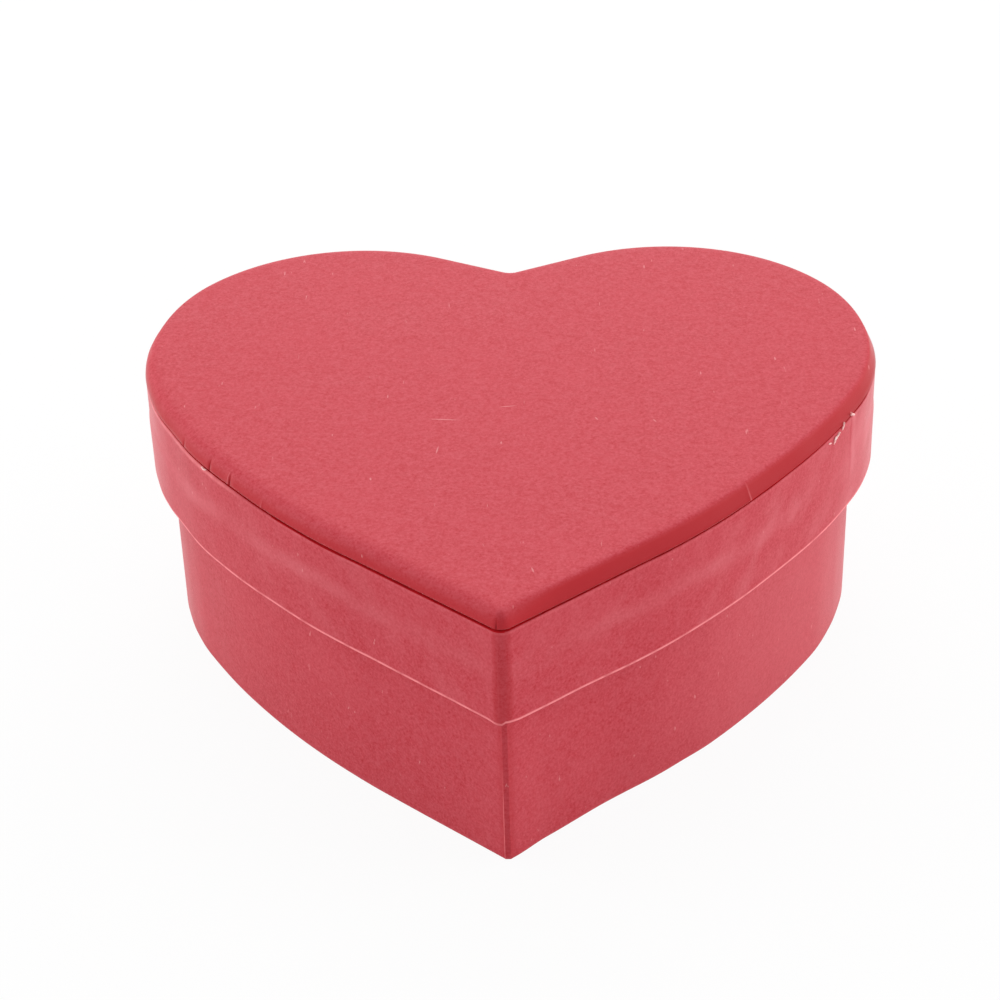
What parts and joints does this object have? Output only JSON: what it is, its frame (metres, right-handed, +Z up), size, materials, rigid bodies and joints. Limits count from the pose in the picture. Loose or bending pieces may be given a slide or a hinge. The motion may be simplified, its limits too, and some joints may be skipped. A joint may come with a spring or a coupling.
{
  "type": "wind up music box",
  "caption": "Heart-shaped red paper-covered box with a lift-off lid, and in it a wind-up movement with pinned cylinder, comb and fan governor, wound by a key underneath.",
  "frame": {"origin": "middle of the heart on the surface that the box stands on", "axes": "+Z up, the heart's point towards -Y, the movement's cylinder along +X"},
  "size_m": [0.115, 0.1045, 0.0452],
  "materials": {
    "red_board": "board wrapped in matte red paper",
    "grey_board": "lined grey board",
    "cast_metal": "as cast",
    "spring_steel": "ground",
    "sheet_steel": "rolled and plated",
    "arbor_steel": "turned",
    "brass": "turned",
    "plated_steel": "nickel plated",
    "white_plastic": "moulded"
  },
  "bodies": {
    "box": {"bedplate": "cast_metal", "comb": "spring_steel", "floor_glue_blocks": "grey_board", "governor_bearing_bracket": "sheet_steel", "governor_frame": "sheet_steel", "left_bearing_bracket": "sheet_steel", "mainspring": "spring_steel", "mounting_screws": "plated_steel", "right_bearing_bracket": "sheet_steel", "spring_housing": "sheet_steel", "tray_floor": "grey_board", "tray_wall": "red_board"},
    "lid": {"lid_rim": "red_board", "lid_top": "red_board"},
    "cylinder": {"pinned_cylinder": "brass", "cylinder_pinion": "brass", "cylinder_gear": "brass", "cylinder_arbor": "arbor_steel"},
    "great_wheel": {"great_wheel": "brass"},
    "winding": {"winding_arbor": "arbor_steel", "winding_key": "plated_steel"},
    "governor_arbor": {"governor_pinion": "brass", "worm_wheel": "white_plastic", "governor_arbor": "arbor_steel"},
    "fan": {"worm_shaft": "arbor_steel", "governor_fan": "white_plastic"}
  },
  "joints": [
    {"name": "lid_lift", "type": "slide", "parent": "box", "child": "lid", "axis": [0, 0, 1], "range_m": [0, 0.06]},
    {"name": "cylinder_turn", "type": "hinge", "parent": "box", "child": "cylinder", "pos_m": [0, 0.008, 0.0264], "axis": [1, 0, 0], "continuous": true},
    {"name": "great_wheel_turn", "type": "hinge", "parent": "box", "child": "great_wheel", "pos_m": [-0.015, 0.008, 0.02], "axis": [0, 0, 1], "continuous": true},
    {"name": "key_wind", "type": "hinge", "parent": "great_wheel", "child": "winding", "pos_m": [-0.015, 0.008, 0.014], "axis": [0, 0, 1], "range_deg": [0, 1260]},
    {"name": "governor_turn", "type": "hinge", "parent": "box", "child": "governor_arbor", "pos_m": [0.022, 0.01683, 0.0264], "axis": [1, 0, 0], "continuous": true},
    {"name": "fan_turn", "type": "hinge", "parent": "box", "child": "fan", "pos_m": [0.02285, 0.02321, 0.03], "axis": [0, 0, 1], "continuous": true}
  ],
  "couplings": [
    {"joint": "great_wheel_turn", "follows": "cylinder_turn", "ratio": 0.25},
    {"joint": "governor_turn", "follows": "cylinder_turn", "ratio": -4},
    {"joint": "fan_turn", "follows": "cylinder_turn", "ratio": 80}
  ]
}
